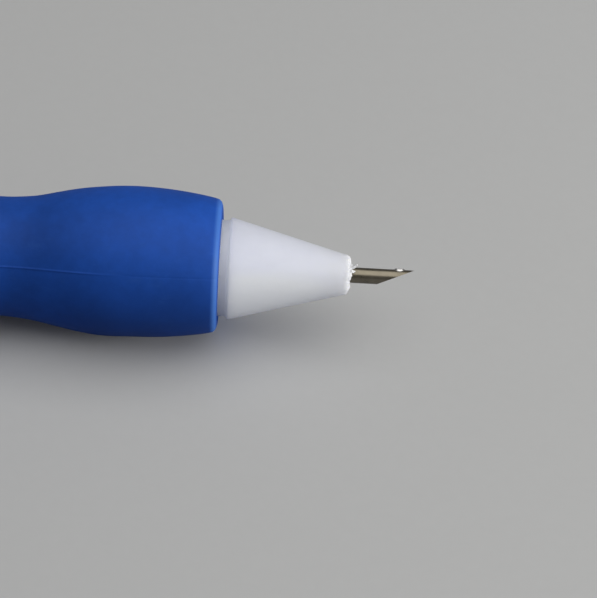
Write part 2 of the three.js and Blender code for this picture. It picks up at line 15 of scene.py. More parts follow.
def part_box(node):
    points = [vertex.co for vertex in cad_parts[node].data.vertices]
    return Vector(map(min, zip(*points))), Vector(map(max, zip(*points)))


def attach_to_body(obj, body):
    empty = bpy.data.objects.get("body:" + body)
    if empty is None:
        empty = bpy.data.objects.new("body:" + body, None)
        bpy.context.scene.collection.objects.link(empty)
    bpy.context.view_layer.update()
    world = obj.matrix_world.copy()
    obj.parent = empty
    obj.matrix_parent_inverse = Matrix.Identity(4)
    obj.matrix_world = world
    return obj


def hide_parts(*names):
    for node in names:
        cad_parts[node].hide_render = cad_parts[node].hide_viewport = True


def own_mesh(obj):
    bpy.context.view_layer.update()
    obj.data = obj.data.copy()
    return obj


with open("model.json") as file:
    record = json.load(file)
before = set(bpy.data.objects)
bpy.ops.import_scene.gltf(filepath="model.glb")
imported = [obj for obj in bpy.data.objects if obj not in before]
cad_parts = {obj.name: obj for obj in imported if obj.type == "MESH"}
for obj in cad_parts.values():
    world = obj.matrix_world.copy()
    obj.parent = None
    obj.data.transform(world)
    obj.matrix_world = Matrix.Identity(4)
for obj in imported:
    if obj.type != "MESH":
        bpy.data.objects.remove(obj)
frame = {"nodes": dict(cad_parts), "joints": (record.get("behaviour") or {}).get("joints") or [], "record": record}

bl_info = {
    "name": "Punch Needle",
    "version": (1, 0, 0),
    "blender": (4, 5, 0),
    "location": "View3D > Sidebar > Punch Needle",
    "description": "Builds a punch needle with its grip, tip, needle, loop gauge and lock lever",
    "category": "Add Mesh",
}

MM = 0.001
FULL_TURN = 2 * math.pi
SHARP = math.radians(35)
WELD = 1e-7
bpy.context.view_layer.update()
NODES = frame["nodes"]
BODY_OF = {node: body for body, nodes in frame["record"]["behaviour"]["bodies"].items() for node in nodes}
JOINTS = {joint["name"]: joint for joint in frame["joints"]}
AXIS = Vector((0, 0, JOINTS["gauge_turn"]["pos_m"][2]))
GRIP_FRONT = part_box("soft_grip")[1].x
TIP_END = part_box("nose_cone")[1].x
NEEDLE_REAR, NEEDLE_POINT = (corner.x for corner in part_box("needle_tube"))
SHELL_LOW, SHELL_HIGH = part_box("rear_shell")
PICTURE_WIDTH = 597
# Bearings in degrees at which outlines are cut: close to a corner of the tip's mesh, and between two flutes
# of the knob.
TIP_CUT, KNOB_CUT = 184.4, 191.25
# The torn threads: how far each is turned from the burr's bearing, how steeply it stands off, and its share
# of the burr's length.
THREADS = ((0.0, 0.75, 1.0), (0.07, 0.6, 0.8), (0.30, -0.25, 0.75), (0.42, -0.3, 0.6), (-0.35, 0.5, 0.4))


def length(name, description, millimetres):
    """A property for a size, given in millimetres."""
    return bpy.props.FloatProperty(
        name=name, description=description, default=millimetres * MM, min=0.0,
        subtype="DISTANCE", unit="LENGTH", precision=5,
    )


def angle(name, description, degrees):
    """A property for an angle, given in degrees."""
    return bpy.props.FloatProperty(
        name=name, description=description, default=math.radians(degrees), subtype="ANGLE", unit="ROTATION",
    )


def colour(name, description, red, green, blue):
    """A property for a linear colour."""
    return bpy.props.FloatVectorProperty(
        name=name, description=description, default=(red, green, blue), min=0.0, max=1.0,
        size=3, subtype="COLOR",
    )


def amount(name, description, value, most=1.0):
    """A property for a plain number."""
    return bpy.props.FloatProperty(name=name, description=description, default=value, min=0.0, max=most)


def number(name, description, value, least):
    """A property for a whole number."""
    return bpy.props.IntProperty(name=name, description=description, default=value, min=least)


class PUNCH_PG_grip(bpy.types.PropertyGroup):
    """Sizes and colour of the rubber sleeve."""
    tint: colour("Colour", "Colour of the rubber", 0.011, 0.085, 0.455)
    # Used for the scuffs, which are wear, and for the rim's band, which is worn and also carries a painted
    # highlight.
    worn_and_highlight_tint: colour("Worn colour", "Colour where the rubber is rubbed pale", 0.07, 0.21, 0.60)
    roughness: amount("Roughness", "Roughness of the rubber", 0.52)
    parting_bearing: angle("Parting line", "Bearing of the mould's parting line on the near side", 60.5)
    parting_height: length("Parting height", "Height of the parting line's flash", 0.07)
    parting_width: length("Parting width", "Half width of the parting line's flash", 0.11)
    softening: length("Softening", "Rounding of the sleeve's corners", 0.25)
    fuller_bearing: angle("Fuller side", "Bearing of the side on which the sleeve is fuller", 320)
    slimmer: length(
        "Slimmer", "How much slimmer the sleeve is on the other side, and twice as much in front", 0.19,
    )
    fuller: length(
        "Fuller", "How much fuller the front bulge is, and half as much again slimmer the waist", 0.1,
    )
    rim_back: length("Rim back", "How far the front face leans back towards its rim", 0.2)


class PUNCH_PG_tip(bpy.types.PropertyGroup):
    """Sizes and colour of the white tip."""
    tint: colour("Colour", "Colour of the plastic", 0.72, 0.735, 0.82)
    # Painted light: this paler colour is laid on the underside, the base and the neck where they lie in shade.
    painted_light_pale_tint: colour("Pale colour", "Colour of the paler underside and neck", 0.865, 0.885, 1.0)
    torn_tint: colour("Torn colour", "Colour of the torn threads", 0.95, 0.95, 0.95)
    stain: colour("Stain", "Colour of the soiled plastic near the end", 0.60, 0.60, 0.52)
    roughness: amount("Roughness", "Roughness of the plastic", 0.42)
    wear_reach: length("Wear reach", "How far the worn part reaches back from the end", 1.5)
    wear_depth: length("Wear depth", "How deep the worn part is bitten", 0.24)
    wear_lumps: length("Wear lumps", "How far the worn end stands in and out in places", 0.35)
    wear_dome: length("Wear dome", "How far the middle of the worn end stands out", 0.32)
    worn_back: length("Worn back", "How far one side of the end is worn back", 0.28)
    worn_bearing: angle("Worn side", "Bearing of the side that is worn back", 140)
    spread: amount("Spread", "Share by which the tip is wider at its base", 0.008)
    burr_length: length("Burr length", "Length of the torn burr that stands off the worn rim", 0.85)
    burr_bearing: angle("Burr bearing", "Where the burr stands round the end", 9)


class PUNCH_PG_needle(bpy.types.PropertyGroup):
    """Sizes and colours of the needle and of what carries it."""
    radius: length("Radius", "Outer radius of the needle", 0.915)
    wall: length("Wall", "Wall of the needle", 0.23)
    bevel: angle("Bevel", "Angle between the bevel and the axis", 23)
    bevel_bearing: angle("Bevel bearing", "Side that the bevel faces", 140)
    eye_length: length("Eye length", "Length of the eye along the needle", 0.8)
    eye_width: length("Eye width", "Width of the eye", 0.66)
    eye_from_point: length("Eye from point", "From the point to the middle of the eye", 1.75)
    eye_lip: length("Eye lip", "Height of the eye's raised rim", 0.15)
    edge: length("Edge", "Rounding of the needle's edges", 0.035)
    steel: colour("Steel", "Colour of the steel", 0.335, 0.295, 0.22)
    holder_tint: colour("Holder colour", "Colour of the hub and the holder", 0.50, 0.52, 0.55)
    knob_flutes: number("Flutes", "Flutes round the knob", 16, 3)
    flute_depth: length("Flute depth", "Depth of the knob's flutes", 0.35)
    brass: colour("Brass", "Colour of the eyelet", 0.68, 0.46, 0.16)


class PUNCH_PG_gauge(bpy.types.PropertyGroup):
    """Sizes and colours of the rear shell and its loop gauge."""
    tint: colour("Colour", "Colour of the shell", 0.72, 0.735, 0.82)
    ink: colour("Ink", "Colour of the dial's numbers and marks", 0.02, 0.05, 0.16)
    settings: number("Settings", "Settings of the gauge", 12, 2)
    wall: length("Wall", "Wall of the shell", 1.4)
    taper: length("Taper", "How much smaller in radius the shell's rear end is", 0.3)
    flange: length("Flange", "Length of the flange at the shell's front", 1.6)
    stud_gap: length("Stud gap", "Gap between the stud and each side of the slot", 0.25)
    scallop: length("Scallop", "Depth of the scallop at each setting", 0.35)
    number_height: length("Number height", "Height of the dial's numbers", 1.55)
    mark_length: length("Mark length", "Length of the mark beside each number", 0.55)
    mark_width: length("Mark width", "Width of the mark beside each number", 0.16)
    edge: length("Edge", "Softening of the shell's cut edges", 0.1)
    window_gap: length("Window gap", "Gap between the lever and each side of its window", 0.2)
    coils: number("Coils", "Turns of the spring", 8, 2)
    wire: length("Wire", "Radius of the spring's wire", 0.275)


class PUNCH_PG_lever(bpy.types.PropertyGroup):
    """Sizes and colour of the lock lever."""
    tint: colour("Colour", "Colour of the lever", 0.72, 0.735, 0.82)
    edge: length("Edge", "Rounding of the lever's edges", 0.28)
    ribs: number("Ribs", "Ribs on the thumb end", 5, 1)
    rib_radius: length("Rib radius", "Radius of each rib", 0.22)
    rib_spacing: length("Rib spacing", "Distance between ribs", 0.85)
    rib_inset: length("Rib inset", "From the lever's sides to the ends of the ribs", 0.6)


class PUNCH_PG_stage(bpy.types.PropertyGroup):
    """The floor, the light and the photograph's view."""
    floor: colour("Floor", "Colour of the floor", 0.62, 0.62, 0.61)
    bounce: colour("Bounce", "Colour that the floor throws back on the tool", 0.19, 0.2, 0.235)
    azimuth: angle("Azimuth", "Turn of the camera round the tool", 0.0)
    elevation: angle("Elevation", "Height of the camera above the horizon", 40)
    roll: angle("Roll", "Roll of the camera", 3.1)
    distance: length("Distance", "From the camera to what it looks at", 360)
    pixel: length("Pixel", "Size on the tool that one pixel of the photograph spans", 0.1172)
    ahead: length("Ahead", "From the grip's front to what the camera looks at", 9.14)
    below: length("Below", "How far below the axis the camera looks, across the view", 3.14)
    top: amount("Top light", "Power of the large light above", 2.95, 100)
    side: amount("Side light", "Power of the light from the needle's end", 3.3, 100)
    sky: amount("Sky", "Strength of the light from all round", 0.135, 10)


GROUPS = {
    "punch_grip": PUNCH_PG_grip,
    "punch_tip": PUNCH_PG_tip,
    "punch_needle": PUNCH_PG_needle,
    "punch_gauge": PUNCH_PG_gauge,
    "punch_lever": PUNCH_PG_lever,
    "punch_stage": PUNCH_PG_stage,
}


class Socket:
    """A node's output that Python's operators can work on."""

    def __init__(self, tree, output):
        self.tree = tree
        self.output = output

    def maths(self, operation, first, second, clamp=False):
        settings = {"operation": operation, "use_clamp": clamp}
        return self.tree.node("ShaderNodeMath", settings, {0: first, 1: second})

    def __add__(self, other):
        return self.maths("ADD", self, other)

    def __sub__(self, other):
        return self.maths("SUBTRACT", self, other)

    def __rsub__(self, other):
        return self.maths("SUBTRACT", other, self)

    def __mul__(self, other):
        return self.maths("MULTIPLY", self, other)

    def __lt__(self, other):
        return self.maths("LESS_THAN", self, other)

    __radd__ = __add__
    __rmul__ = __mul__

    def clamped(self):
        return self.maths("ADD", self, 0.0, clamp=True)


class Tree:
    """A node tree. Its node method makes any node, sets it up and fills its inputs."""

    def __init__(self, tree):
        self.tree = tree

    def node(self, kind, settings=None, inputs=None, output=0):
        made = self.tree.nodes.new(kind)
        for key, value in (settings or {}).items():
            setattr(made, key, value)
        for key, value in (inputs or {}).items():
            if isinstance(value, Socket):
                self.tree.links.new(value.output, made.inputs[key])
            else:
                made.inputs[key].default_value = value
        return Socket(self, made.outputs[output]) if len(made.outputs) else None


class Finish(Tree):
    """A procedural material round one Principled shader."""

    def __init__(self, name):
        self.material = bpy.data.materials.new(name)
        self.material.use_nodes = True
        super().__init__(self.material.node_tree)
        self.tree.nodes.clear()
        place = self.node("ShaderNodeTexCoord", output="Object")
        self.place = self.node(
            "ShaderNodeMapping", {"vector_type": "POINT"}, {"Vector": place, "Location": -AXIS},
        )

    def part(self, axis):
        """One coordinate of the place on the object, measured from the tool's axis."""
        return self.node("ShaderNodeSeparateXYZ", inputs={0: self.place}, output=axis)

    def noise(self, size, detail=3.0, roughness=0.5, stretch=(1, 1, 1)):
        """Soft noise from 0 to 1 whose features are about size across."""
        place = self.node("ShaderNodeVectorMath", {"operation": "MULTIPLY"}, {0: self.place, 1: stretch})
        inputs = {"Vector": place, "Scale": 1 / size, "Detail": detail, "Roughness": roughness}
        return self.node("ShaderNodeTexNoise", inputs=inputs)

    def specks(self, spacing, radius, share):
        """A mask of small round specks in a share of the cells of a grid."""
        inputs = {"Vector": self.place, "Scale": 1 / spacing}
        away = self.node("ShaderNodeTexVoronoi", inputs=inputs)
        luck = self.node("ShaderNodeTexVoronoi", inputs=inputs, output="Color")
        chosen = self.node("ShaderNodeSeparateXYZ", inputs={0: luck}) < share
        return (away < radius / spacing) * chosen

    def ramp(self, factor, low, high):
        """0 below low, 1 above high and even between."""
        inputs = {"Value": factor, "From Min": low, "From Max": high}
        return self.node("ShaderNodeMapRange", {"clamp": True}, inputs)

    def mix(self, factor, first, second):
        """A mix of two colours."""
        first, second = (
            shade if isinstance(shade, Socket) else (*shade, 1.0) for shade in (first, second)
        )
        return self.node("ShaderNodeMix", {"data_type": "RGBA"}, {0: factor, 6: first, 7: second}, 2)

    def layered(self, tint, *layers):
        """A colour with others over it, each given as a mask, how much of it shows and its colour."""
        for mask, strength, over in layers:
            tint = self.mix(mask * strength, tint, over)
        return tint

    def bump(self, height, depth, under=None):
        """A normal from a height of 0 to 1 that stands for a depth in metres."""
        inputs = {"Height": height, "Distance": depth, "Strength": 1.0}
        if under is not None:
            inputs["Normal"] = under
        return self.node("ShaderNodeBump", inputs=inputs)

    def done(self, tint, roughness, normal=None, **constants):
        """Connects the shader and gives the material back."""
        inputs = {"Base Color": tint, "Roughness": roughness}
        for key, value in constants.items():
            inputs[key.replace("_", " ").title().replace("Ior", "IOR")] = value
        if not isinstance(tint, Socket):
            inputs["Base Color"] = (*tint, 1.0)
        if normal is not None:
            inputs["Normal"] = normal
        shader = self.node("ShaderNodeBsdfPrincipled", inputs=inputs)
        self.node("ShaderNodeOutputMaterial", inputs={"Surface": shader})
        return self.material


def scaled(tint, factor):
    return [channel * factor for channel in tint]


def rubber_finish(settings):
    """Matt moulded rubber: clouded colour, faint scuffs, dust, a worn rim with a painted highlight, painted shade,
    painted light.
    """
    finish = Finish("grip_rubber")
    cloud = finish.noise(7 * MM, detail=2.0)
    mottle = finish.ramp(finish.noise(1.3 * MM, detail=4.0, roughness=0.6), 0.35, 0.65)
    grain = finish.noise(0.35 * MM, detail=2.0)
    scuff = finish.ramp(finish.noise(1.4 * MM, detail=4.0, roughness=0.6, stretch=(0.35, 1, 1)), 0.6, 0.78)
    from_front = GRIP_FRONT - finish.part("X")
    past_rim = finish.ramp(from_front, 0.45 * MM, 0.85 * MM)
    # The rim's band is worn pale and also carries a painted highlight along the rounded front edge.
    rubbed = finish.ramp(from_front, 0.05 * MM, 0.2 * MM) * (1 - past_rim)
    rubbed = rubbed * (0.5 + 0.5 * finish.ramp(cloud, 0.25, 0.5))
    # edge is painted shade on the front face, in the mouth between the sleeve and the neck.
    edge = 1 - finish.ramp(from_front, 0, 0.12 * MM)
    front = 1 - finish.ramp(from_front, 13 * MM, 20 * MM)
    # Painted light: the sleeve is painted lighter from a little behind the rim back towards the waist.
    painted_light_band = finish.ramp(from_front, 3 * MM, 8 * MM) * front
    # below is painted shade: the front part grows darker towards its underside.
    below = finish.ramp(0 - finish.part("Z"), -7 * MM, 2 * MM) * front
    dust = finish.specks(spacing=4 * MM, radius=0.16 * MM, share=0.16)
    # The lighter copy of the tint is painted light. The darker copy is painted shade under below and edge, and
    # random tone in the mottle. The worn colour is wear on the scuffs, and wear with a painted highlight on the
    # rim.
    painted_light_tint, soiled, worn = scaled(settings.tint, 1.45), scaled(settings.tint, 0.4), settings.worn_and_highlight_tint
    tint = finish.mix(finish.ramp(cloud, 0.3, 0.7), scaled(settings.tint, 0.86), scaled(settings.tint, 1.16))
    tint = finish.layered(
        tint, (painted_light_band, 0.4, painted_light_tint), (below, 0.68, soiled), (mottle, 0.16, soiled), (scuff, 0.12, worn),
        (rubbed, 0.6, worn), (edge, 0.7, soiled), (dust, 0.35, (0.45, 0.47, 0.52)),
    )
    roughness = settings.roughness + cloud * 0.1 + scuff * 0.1
    normal = finish.bump(grain, 0.008 * MM)
    normal = finish.bump(finish.noise(2.2 * MM, detail=2.0), 0.03 * MM, normal)
    return finish.done(tint, roughness, normal, specular_ior_level=0.22)


def plastic_finish(name, tint, roughness=0.42):
    """White moulded plastic with a faint orange peel and a few handling marks."""
    finish = Finish(name)
    cloud = finish.noise(5 * MM)
    scratch = finish.ramp(finish.noise(0.5 * MM, roughness=0.6, stretch=(0.12, 1, 1)), 0.66, 0.74)
    colours = finish.mix(finish.ramp(cloud, 0.3, 0.7), scaled(tint, 0.955), tint)
    colours = finish.mix(scratch * 0.06, colours, (0.45, 0.45, 0.46))
    normal = finish.bump(finish.noise(0.6 * MM, detail=2.0), 0.006 * MM)
    return finish.done(
        colours, roughness + cloud * 0.08, normal,
        subsurface_weight=0.15, subsurface_radius=(0.0009, 0.0008, 0.0008), subsurface_scale=1.0,
    )


def tip_finish(settings):
    """The tip's white plastic: soiled towards the needle, rubbed bright round the worn rim, with painted light on
    its underside, base and neck.
    """
    finish = Finish("tip_plastic")
    along = finish.part("X")
    near_end = finish.ramp(along, TIP_END - 4.5 * MM, TIP_END - 0.8 * MM)
    lower = 0 - finish.part("Z")
    low_side = finish.ramp(lower, -0.2 * MM, 2.0 * MM)
    cloud = finish.noise(1.6 * MM)
    soil = near_end * finish.ramp(cloud, 0.35, 0.7) * (0.35 + low_side * 0.65)
    rim = finish.ramp(along, TIP_END - 0.75 * MM, TIP_END - 0.3 * MM)
    bitten = finish.noise(0.45 * MM, detail=4.0, roughness=0.65)
    scratch = finish.ramp(finish.noise(0.4 * MM, roughness=0.6, stretch=(0.15, 1, 1)), 0.66, 0.74)
    tint = finish.mix(finish.ramp(cloud, 0.3, 0.7), scaled(settings.tint, 0.965), settings.tint)
    # Painted light: the neck, the base and the underside are painted in the paler colour.
    neck = 1 - finish.ramp(along, GRIP_FRONT + 0.9 * MM, GRIP_FRONT + 1.4 * MM)
    base = 1 - finish.ramp(along, GRIP_FRONT + 1 * MM, TIP_END - 1 * MM)
    below = finish.ramp(lower, -3.5 * MM, 0.5 * MM) + base * finish.ramp(lower, -6 * MM, -2 * MM)
    tint = finish.layered(
        tint, ((neck + below).clamped(), 1.0, settings.painted_light_pale_tint), (scratch, 0.05, (0.5, 0.5, 0.5)),
        (soil, 0.6, settings.stain), (rim * finish.ramp(bitten, 0.45, 0.62), 0.8, (0.90, 0.90, 0.88)),
    )
    normal = finish.bump(bitten * rim, 0.10 * MM)
    normal = finish.bump(finish.noise(0.6 * MM, detail=2.0), 0.005 * MM, normal)
    rough = settings.roughness + rim * 0.25 + cloud * 0.06
    return finish.done(
        tint, rough, normal,
        subsurface_weight=1.0, subsurface_radius=(0.0035, 0.0035, 0.0034), subsurface_scale=1.0,
    )


def metal_finish(name, tint, roughness, grain=(1, 1, 1), polished=None):
    """Drawn metal with fine lines along it and clouded polish, bright round a place that yarn rubs."""
    finish = Finish(name)
    lines = finish.noise(0.09 * MM, roughness=0.6, stretch=grain)
    cloud = finish.noise(1.1 * MM)
    colours = finish.mix(finish.ramp(cloud, 0.35, 0.7), scaled(tint, 0.8), tint)
    if polished:
        settings = {"operation": "DISTANCE"}
        away = finish.node("ShaderNodeVectorMath", settings, {0: finish.place, 1: polished}, "Value")
        colours = finish.mix(finish.ramp(away, 0.75 * MM, 0.5 * MM), colours, (0.92, 0.90, 0.87))
    normal = finish.bump(lines, 0.0012 * MM)
    return finish.done(colours, roughness + cloud * 0.12 + lines * 0.05, normal, metallic=1.0)


def ink_finish(tint):
    """Printed ink, thin in places."""
    finish = Finish("dial_ink")
    patch = finish.ramp(finish.noise(0.3 * MM), 0.5, 0.75)
    lighter = [channel + 0.05 for channel in tint]
    return finish.done(finish.mix(patch * 0.5, tint, lighter), 0.45 + patch * 0.2)


def section(node, bearing=180.0):
    """The closed outline, as (along, radius) points, where a half-plane through the axis cuts a node."""
    turn = math.radians(bearing)
    outward = Vector((0, -math.sin(turn), math.cos(turn)))
    sideways = Vector((0, math.cos(turn), math.sin(turn)))
    mesh = NODES[node].data
    places = [vertex.co - AXIS for vertex in mesh.vertices]
    links = defaultdict(set)
    for polygon in mesh.polygons:
        cuts = []
        for pair in polygon.edge_keys:
            first, second = sorted((places[corner] for corner in pair), key=lambda place: place[:])
            before, after = first.dot(sideways), second.dot(sideways)
            if (before < 0) == (after < 0):
                continue
            spot = first.lerp(second, before / (before - after))
            if spot.dot(outward) > 0:
                cuts.append((round(spot.x, 7), round(spot.dot(outward), 7)))
        if len(cuts) == 2 and cuts[0] != cuts[1]:
            links[cuts[0]].add(cuts[1])
            links[cuts[1]].add(cuts[0])
    outline = [max(links)]
    last = None
    while True:
        onward = [spot for spot in links[outline[-1]] if spot != last]
        last = outline[-1]
        if not onward or onward[0] == outline[0]:
            break
        outline.append(onward[0])
    return straightened([Vector(spot) for spot in outline])


def straightened(outline, least=math.radians(0.25)):
    """The outline without the points at which it doesn't turn."""
    kept = []
    for index, here in enumerate(outline):
        before = here - outline[index - 1]
        after = outline[(index + 1) % len(outline)] - here
        if before.length and after.length and before.angle(after) > least:
            kept.append(here)
    return kept


def refined(outline, fillet, spacing, sharp=math.radians(40)):
    """A finer outline: sharp corners become short arcs and the rest a smooth curve through its points.

    An arc takes at most a share of each side, and a tangent at most a few times the length of the next side.
    """
    most_share, most_times = 0.4, 3
    count = len(outline)
    steps = [outline[(i + 1) % count] - outline[i] for i in range(count)]
    spans = [step.length for step in steps]
    ways = [step.normalized() for step in steps]
    is_sharp = [ways[i - 1].angle(ways[i]) > sharp for i in range(count)]
    tangents = [(ways[i - 1] * spans[i] + ways[i] * spans[i - 1]).normalized() for i in range(count)]
    fine = []
    for i in range(count):
        after = (i + 1) % count
        start, end, span = outline[i], outline[after], spans[i]
        leaving = coming = ways[i] * span
        if not is_sharp[i]:
            leaving = tangents[i] * min(span, most_times * spans[i - 1])
        if not is_sharp[after]:
            coming = tangents[after] * min(span, most_times * spans[after])
        cut = min(fillet / span, most_share)
        cut_start = cut if is_sharp[i] else 0.0
        cut_end = cut if is_sharp[after] else 0.0
        pieces = max(1, math.ceil(span / spacing))
        points = []
        for k in range(pieces + 1):
            t = cut_start + (1 - cut_start - cut_end) * k / pieces
            points.append(
                start * (2 * t ** 3 - 3 * t ** 2 + 1) + leaving * (t ** 3 - 2 * t ** 2 + t)
                + end * (3 * t ** 2 - 2 * t ** 3) + coming * (t ** 3 - t ** 2)
            )
        if is_sharp[i]:
            fine.append(("corner", start))
        fine.extend(("point", point) for point in points[0 if is_sharp[i] else 1:])
    return with_arcs(fine)


def denser(outline, start, spacing):
    """The outline with points at least every spacing beyond a place along the tool."""
    fine = []
    for here, following in zip(outline, outline[1:] + outline[:1]):
        fine.append(here)
        if min(here.x, following.x) > start:
            steps = math.ceil((following - here).length / spacing)
            fine.extend(here.lerp(following, k / steps) for k in range(1, steps))
    return fine


def with_arcs(marked, steps=4):
    """Replaces each marked corner by an arc between its neighbours."""
    outline = []
    for index, (kind, spot) in enumerate(marked):
        if kind == "point":
            outline.append(spot)
            continue
        start = marked[index - 1][1]
        end = marked[(index + 1) % len(marked)][1]
        for k in range(1, steps):
            t = k / steps
            outline.append(start * (1 - t) ** 2 + spot * 2 * t * (1 - t) + end * t ** 2)
    return outline


def share(value, start, end):
    """0 before start, 1 after end and even between."""
    return min(1.0, max(0.0, (value - start) / (end - start)))


def even_bearings(count):
    return [FULL_TURN * i / count for i in range(count)]


def point_at(along, radius, bearing):
    """The place at a bearing round the tool's axis."""
    return AXIS + Vector((along, -radius * math.sin(bearing), radius * math.cos(bearing)))


def skin(solid, rings, round_about=True, closed=True):
    """Faces between neighbouring rings of points, and from the last ring to the first or over both ends."""
    for ring, following in zip(rings, rings[1:] + rings[:1] if round_about else rings[1:]):
        for j in range(len(ring) if closed else len(ring) - 1):
            k = (j + 1) % len(ring)
            solid.faces.new((ring[j], ring[k], following[k], following[j]))
    if not round_about:
        solid.faces.new(rings[0])
        solid.faces.new(rings[-1])


def turn(outline, bearings, shape=None):
    """A solid turned about the tool's axis. shape may change the along and radius of each point."""
    solid = bmesh.new()
    rings = []
    for bearing in bearings:
        spots = (shape(along, radius, bearing) if shape else (along, radius) for along, radius in outline)
        rings.append([solid.verts.new(point_at(along, radius, bearing)) for along, radius in spots])
    skin(solid, rings)
    return solid


def linked(name, data):
    """A new object in the scene."""
    made = bpy.data.objects.new(name, data)
    bpy.context.scene.collection.objects.link(made)
    return made


def smoothed(mesh):
    """The mesh, shaded smooth but for its sharp edges."""
    mesh.shade_smooth()
    mesh.set_sharp_from_angle(angle=SHARP)
    return mesh


def evaluated_mesh(piece):
    """A plain mesh of what a piece's curve or modifiers make."""
    bpy.context.view_layer.update()
    return bpy.data.meshes.new_from_object(piece.evaluated_get(bpy.context.evaluated_depsgraph_get()))


def finish_mesh(name, solid):
    """An object from a closed solid."""
    bmesh.ops.remove_doubles(solid, verts=solid.verts, dist=WELD)
    bmesh.ops.recalc_face_normals(solid, faces=solid.faces)
    mesh = bpy.data.meshes.new(name)
    solid.to_mesh(mesh)
    solid.free()
    return linked(name, smoothed(mesh))


def bake(piece):
    """Applies a piece's modifiers to its mesh."""
    mesh = evaluated_mesh(piece)
    piece.modifiers.clear()
    piece.data = smoothed(mesh)
    return piece


def carve(piece, *cutters):
    """Cuts solids out of a piece."""
    for cutter in cutters:
        cut = piece.modifiers.new("Cut", "BOOLEAN")
        cut.operation = "DIFFERENCE"
        cut.solver = "EXACT"
        cut.object = cutter
    bake(piece)
    for cutter in cutters:
        bpy.data.objects.remove(cutter)
    return piece


def soften(piece, width, segments=2):
    """Rounds a piece's sharp edges."""
    edge = piece.modifiers.new("Edge", "BEVEL")
    edge.limit_method = "ANGLE"
    edge.angle_limit = SHARP
    edge.width = width
    edge.segments = segments
    edge.use_clamp_overlap = True
    return bake(piece)


def attach(piece, finish, node):
    """Gives a piece its finish and lets it move with a node."""
    piece.data.materials.clear()
    piece.data.materials.append(finish)
    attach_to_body(piece, BODY_OF[node])


def settle(piece, finish, node):
    """Lets a piece stand for its node."""
    attach(piece, finish, node)
    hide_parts(node)


def turned_piece(node, finish, fillet, spacing=1.2 * MM, shape=None):
    """A finer copy of a turned node that stands for it."""
    solid = turn(refined(section(node), fillet, spacing), even_bearings(96), shape)
    settle(finish_mesh(node + "_fine", solid), finish, node)


def block(name, low, high):
    """A box between two corners."""
    solid = bmesh.new()
    middle, size = (low + high) / 2, high - low
    bmesh.ops.create_cube(solid, size=1, matrix=Matrix.Translation(middle) @ Matrix.Diagonal((*size, 1)))
    return finish_mesh(name, solid)


def rod(name, start, end, radius, sides=32, dome=0.0, aspect=1.0):
    """A round rod between two points with domed ends. aspect widens it along the tool."""
    way = end - start
    facing = way.to_track_quat("Z", "X").to_matrix()
    profile = [(0.0, 0.0), (radius * 0.55, 0.08 * dome), (radius * 0.85, 0.35 * dome), (radius, dome)]
    profile += [(r, way.length - h) for r, h in reversed(profile)]
    solid = bmesh.new()
    rings = []
    for around in even_bearings(sides):
        ring = []
        for r, h in profile:
            spot = facing @ Vector((r * math.cos(around), r * math.sin(around), h)) + start
            spot.x = start.x + (spot.x - start.x) * aspect
            ring.append(solid.verts.new(spot))
        rings.append(ring)
    skin(solid, rings, closed=False)
    return finish_mesh(name, solid)


def pin(node, finish, near, far):
    """A pin across the tool between two distances to its far side."""
    low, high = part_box(node)
    middle = (low + high) / 2
    start, end = (Vector((middle.x, y, middle.z)) for y in (near, far))
    settle(rod(node + "_fine", start, end, (high.x - low.x) / 2, dome=0.12 * MM), finish, node)


def pin_hole():
    """A cutter for the hole that the lever's pin turns in."""
    low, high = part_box("lever_pin")
    middle, reach, play = (low + high) / 2, Vector((0, 12 * MM, 0)), 0.05 * MM
    return rod("pin_hole", middle - reach, middle + reach, (high.x - low.x) / 2 + play)


def geometry_tree(name, values):
    """An empty Geometry Nodes tree with an input for each named value, and the sockets that carry them."""
    kinds = {int: "Int", float: "Float", Vector: "Vector"}
    group = bpy.data.node_groups.new(name, "GeometryNodeTree")
    group.interface.new_socket("Geometry", in_out="OUTPUT", socket_type="NodeSocketGeometry")
    for label, value in values.items():
        group.interface.new_socket(label, in_out="INPUT", socket_type="NodeSocket" + kinds[type(value)])
    tree = Tree(group)
    entry = group.nodes.new("NodeGroupInput")
    return tree, {label: Socket(tree, entry.outputs[label]) for label in values}


def grow(name, tree, geometry, finish, values):
    """Ends a tree in real geometry with its material, runs it once on its values and keeps the plain mesh."""
    real = tree.node("GeometryNodeRealizeInstances", inputs={0: geometry})
    dressed = tree.node("GeometryNodeSetMaterial", inputs={"Geometry": real, "Material": finish})
    tree.node("NodeGroupOutput", inputs={0: dressed})
    piece = linked(name, bpy.data.meshes.new(name))
    nodes = piece.modifiers.new("Nodes", "NODES")
    nodes.node_group = tree.tree
    for item in tree.tree.interface.items_tree:
        if item.name in values:
            nodes[item.identifier] = values[item.name]
    return bake(piece)


def strand(solid, points, thick, thin, sides=6):
    """Adds a tapered closed thread along some points."""
    last = len(points) - 1
    rings = []
    for index, spot in enumerate(points):
        way = points[min(index + 1, last)] - points[max(index - 1, 0)]
        facing = way.to_track_quat("Z", "X").to_matrix()
        radius = thick + (thin - thick) * index / last
        rings.append([
            solid.verts.new(spot + facing @ (Vector((math.cos(around), math.sin(around), 0)) * radius))
            for around in even_bearings(sides)
        ])
    skin(solid, rings, round_about=False)


